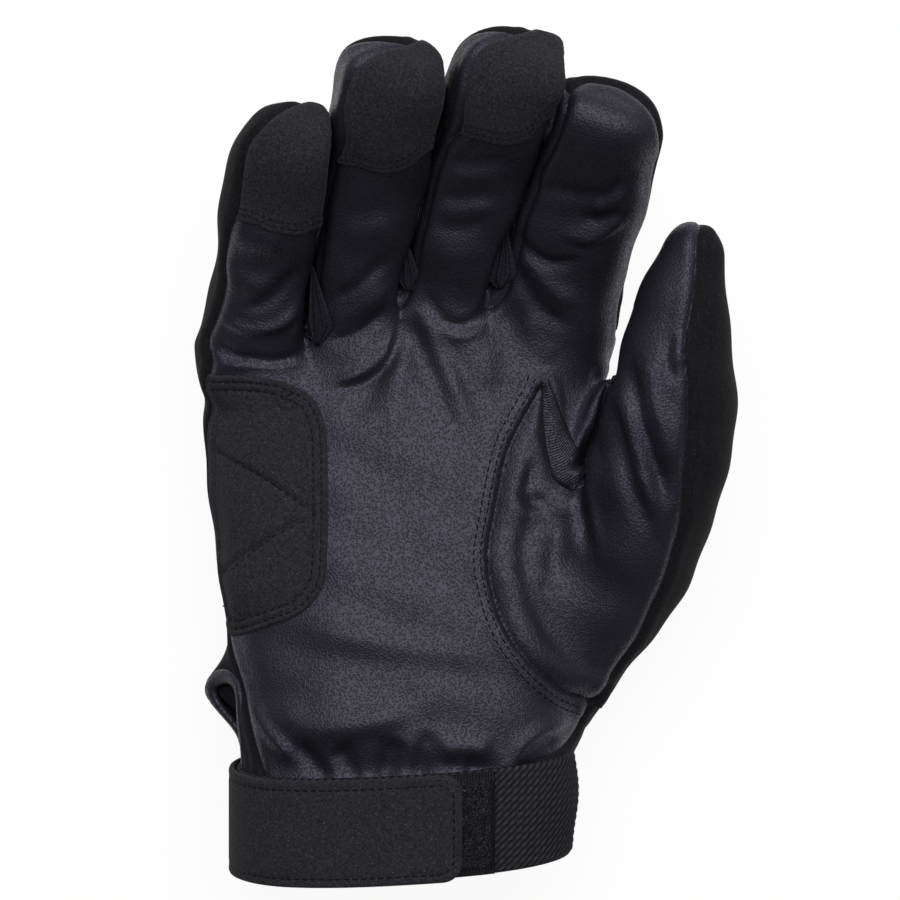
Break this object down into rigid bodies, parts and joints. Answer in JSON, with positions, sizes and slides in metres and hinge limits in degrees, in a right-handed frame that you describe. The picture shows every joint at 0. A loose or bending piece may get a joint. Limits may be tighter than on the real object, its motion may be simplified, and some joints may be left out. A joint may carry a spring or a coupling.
{
  "type": "neoprene glove",
  "caption": "Right-hand neoprene work glove with synthetic leather palm, suede fingertip patches, padded heel and hook-and-loop wrist strap.",
  "frame": {"origin": "middle of the flat back of the hand, in the plane the glove lies on", "axes": "+X towards the thumb, +Y towards the fingertips, +Z out of the palm"},
  "size_m": [0.1286, 0.203, 0.0679],
  "materials": {
    "leather": "satin pebble grain",
    "suede": "matt napped",
    "neoprene": "matt jersey faced",
    "elastic": "matt twill rib",
    "tape": "matt fuzzy",
    "foam": "open cell"
  },
  "bodies": {
    "hand": {"palm_panel": "leather", "back_panel": "neoprene", "thumb_base_front": "leather", "thumb_base_back": "neoprene", "thumb_gore": "leather", "heel_pad_cover": "suede", "heel_pad_foam": "foam", "vent_binding": "leather", "wrist_elastic": "elastic", "cuff_elastic": "elastic", "loop_patch": "tape", "strap_anchor": "suede", "thumb_knuckle": "neoprene", "little_knuckle": "neoprene", "ring_knuckle": "neoprene", "middle_knuckle": "neoprene", "index_knuckle": "neoprene"},
    "little_base": {"little_base_front": "leather", "little_base_back": "neoprene", "little_joint": "neoprene", "little_base_fourchette_thumbward": "leather"},
    "little_tip": {"little_tip_front": "leather", "little_tip_back": "neoprene", "little_tip_fourchette_thumbward": "leather", "little_tip_patch": "suede"},
    "ring_base": {"ring_base_front": "leather", "ring_base_back": "neoprene", "ring_joint": "neoprene", "ring_base_fourchette_thumbward": "leather", "ring_base_fourchette_outward": "leather"},
    "ring_tip": {"ring_tip_front": "leather", "ring_tip_back": "neoprene", "ring_tip_fourchette_thumbward": "leather", "ring_tip_fourchette_outward": "leather", "ring_tip_patch": "suede"},
    "middle_base": {"middle_base_front": "leather", "middle_base_back": "neoprene", "middle_joint": "neoprene", "middle_base_fourchette_thumbward": "leather", "middle_base_fourchette_outward": "leather"},
    "middle_tip": {"middle_tip_front": "leather", "middle_tip_back": "neoprene", "middle_tip_fourchette_thumbward": "leather", "middle_tip_fourchette_outward": "leather", "middle_tip_patch": "suede"},
    "index_base": {"index_base_front": "leather", "index_base_back": "neoprene", "index_joint": "neoprene", "index_base_fourchette_outward": "leather"},
    "index_tip": {"index_tip_front": "leather", "index_tip_back": "neoprene", "index_tip_fourchette_outward": "leather"},
    "thumb": {"thumb_tip_front": "leather", "thumb_tip_back": "neoprene"},
    "strap": {"strap_tab": "suede", "hook_patch": "tape"}
  },
  "joints": [
    {"name": "little_knuckle_bend", "type": "hinge", "parent": "hand", "child": "little_base", "pos_m": [-0.03669, 0.03643, 0.03268], "axis": [0.9781, -0.2079, 0], "range_deg": [-20, 50], "deforming": ["little_knuckle"]},
    {"name": "little_joint_bend", "type": "hinge", "parent": "little_base", "child": "little_tip", "pos_m": [-0.0327, 0.06197, 0.04464], "axis": [0.9781, -0.2079, 0], "range_deg": [-12, 55], "deforming": ["little_joint"]},
    {"name": "ring_knuckle_bend", "type": "hinge", "parent": "hand", "child": "ring_base", "pos_m": [-0.01388, 0.04433, 0.03268], "axis": [0.9781, -0.2079, 0], "range_deg": [-20, 50], "deforming": ["ring_knuckle"]},
    {"name": "ring_joint_bend", "type": "hinge", "parent": "ring_base", "child": "ring_tip", "pos_m": [-0.00829, 0.07324, 0.04639], "axis": [0.9781, -0.2079, 0], "range_deg": [-12, 55], "deforming": ["ring_joint"]},
    {"name": "middle_knuckle_bend", "type": "hinge", "parent": "hand", "child": "middle_base", "pos_m": [0.00891, 0.04643, 0.03268], "axis": [0.9781, -0.2079, 0], "range_deg": [-20, 50], "deforming": ["middle_knuckle"]},
    {"name": "middle_joint_bend", "type": "hinge", "parent": "middle_base", "child": "middle_tip", "pos_m": [0.01624, 0.0768, 0.04727], "axis": [0.9781, -0.2079, 0], "range_deg": [-12, 55], "deforming": ["middle_joint"]},
    {"name": "index_knuckle_bend", "type": "hinge", "parent": "hand", "child": "index_base", "pos_m": [0.03431, 0.04433, 0.03268], "axis": [0.9781, -0.2079, 0], "range_deg": [-20, 50], "deforming": ["index_knuckle"]},
    {"name": "index_joint_bend", "type": "hinge", "parent": "index_base", "child": "index_tip", "pos_m": [0.04084, 0.06935, 0.04464], "axis": [0.9781, -0.2079, 0], "range_deg": [-12, 55], "deforming": ["index_joint"]},
    {"name": "thumb_bend", "type": "hinge", "parent": "hand", "child": "thumb", "pos_m": [0.05472, 0.00593, 0.04899], "axis": [0.9213, -0.3003, 0.2469], "range_deg": [-10, 18], "deforming": ["thumb_knuckle"]},
    {"name": "strap_peel", "type": "hinge", "parent": "hand", "child": "strap", "pos_m": [-0.04495, -0.06975, 0.0268], "axis": [0, -1, 0], "range_deg": [0, 140]}
  ]
}
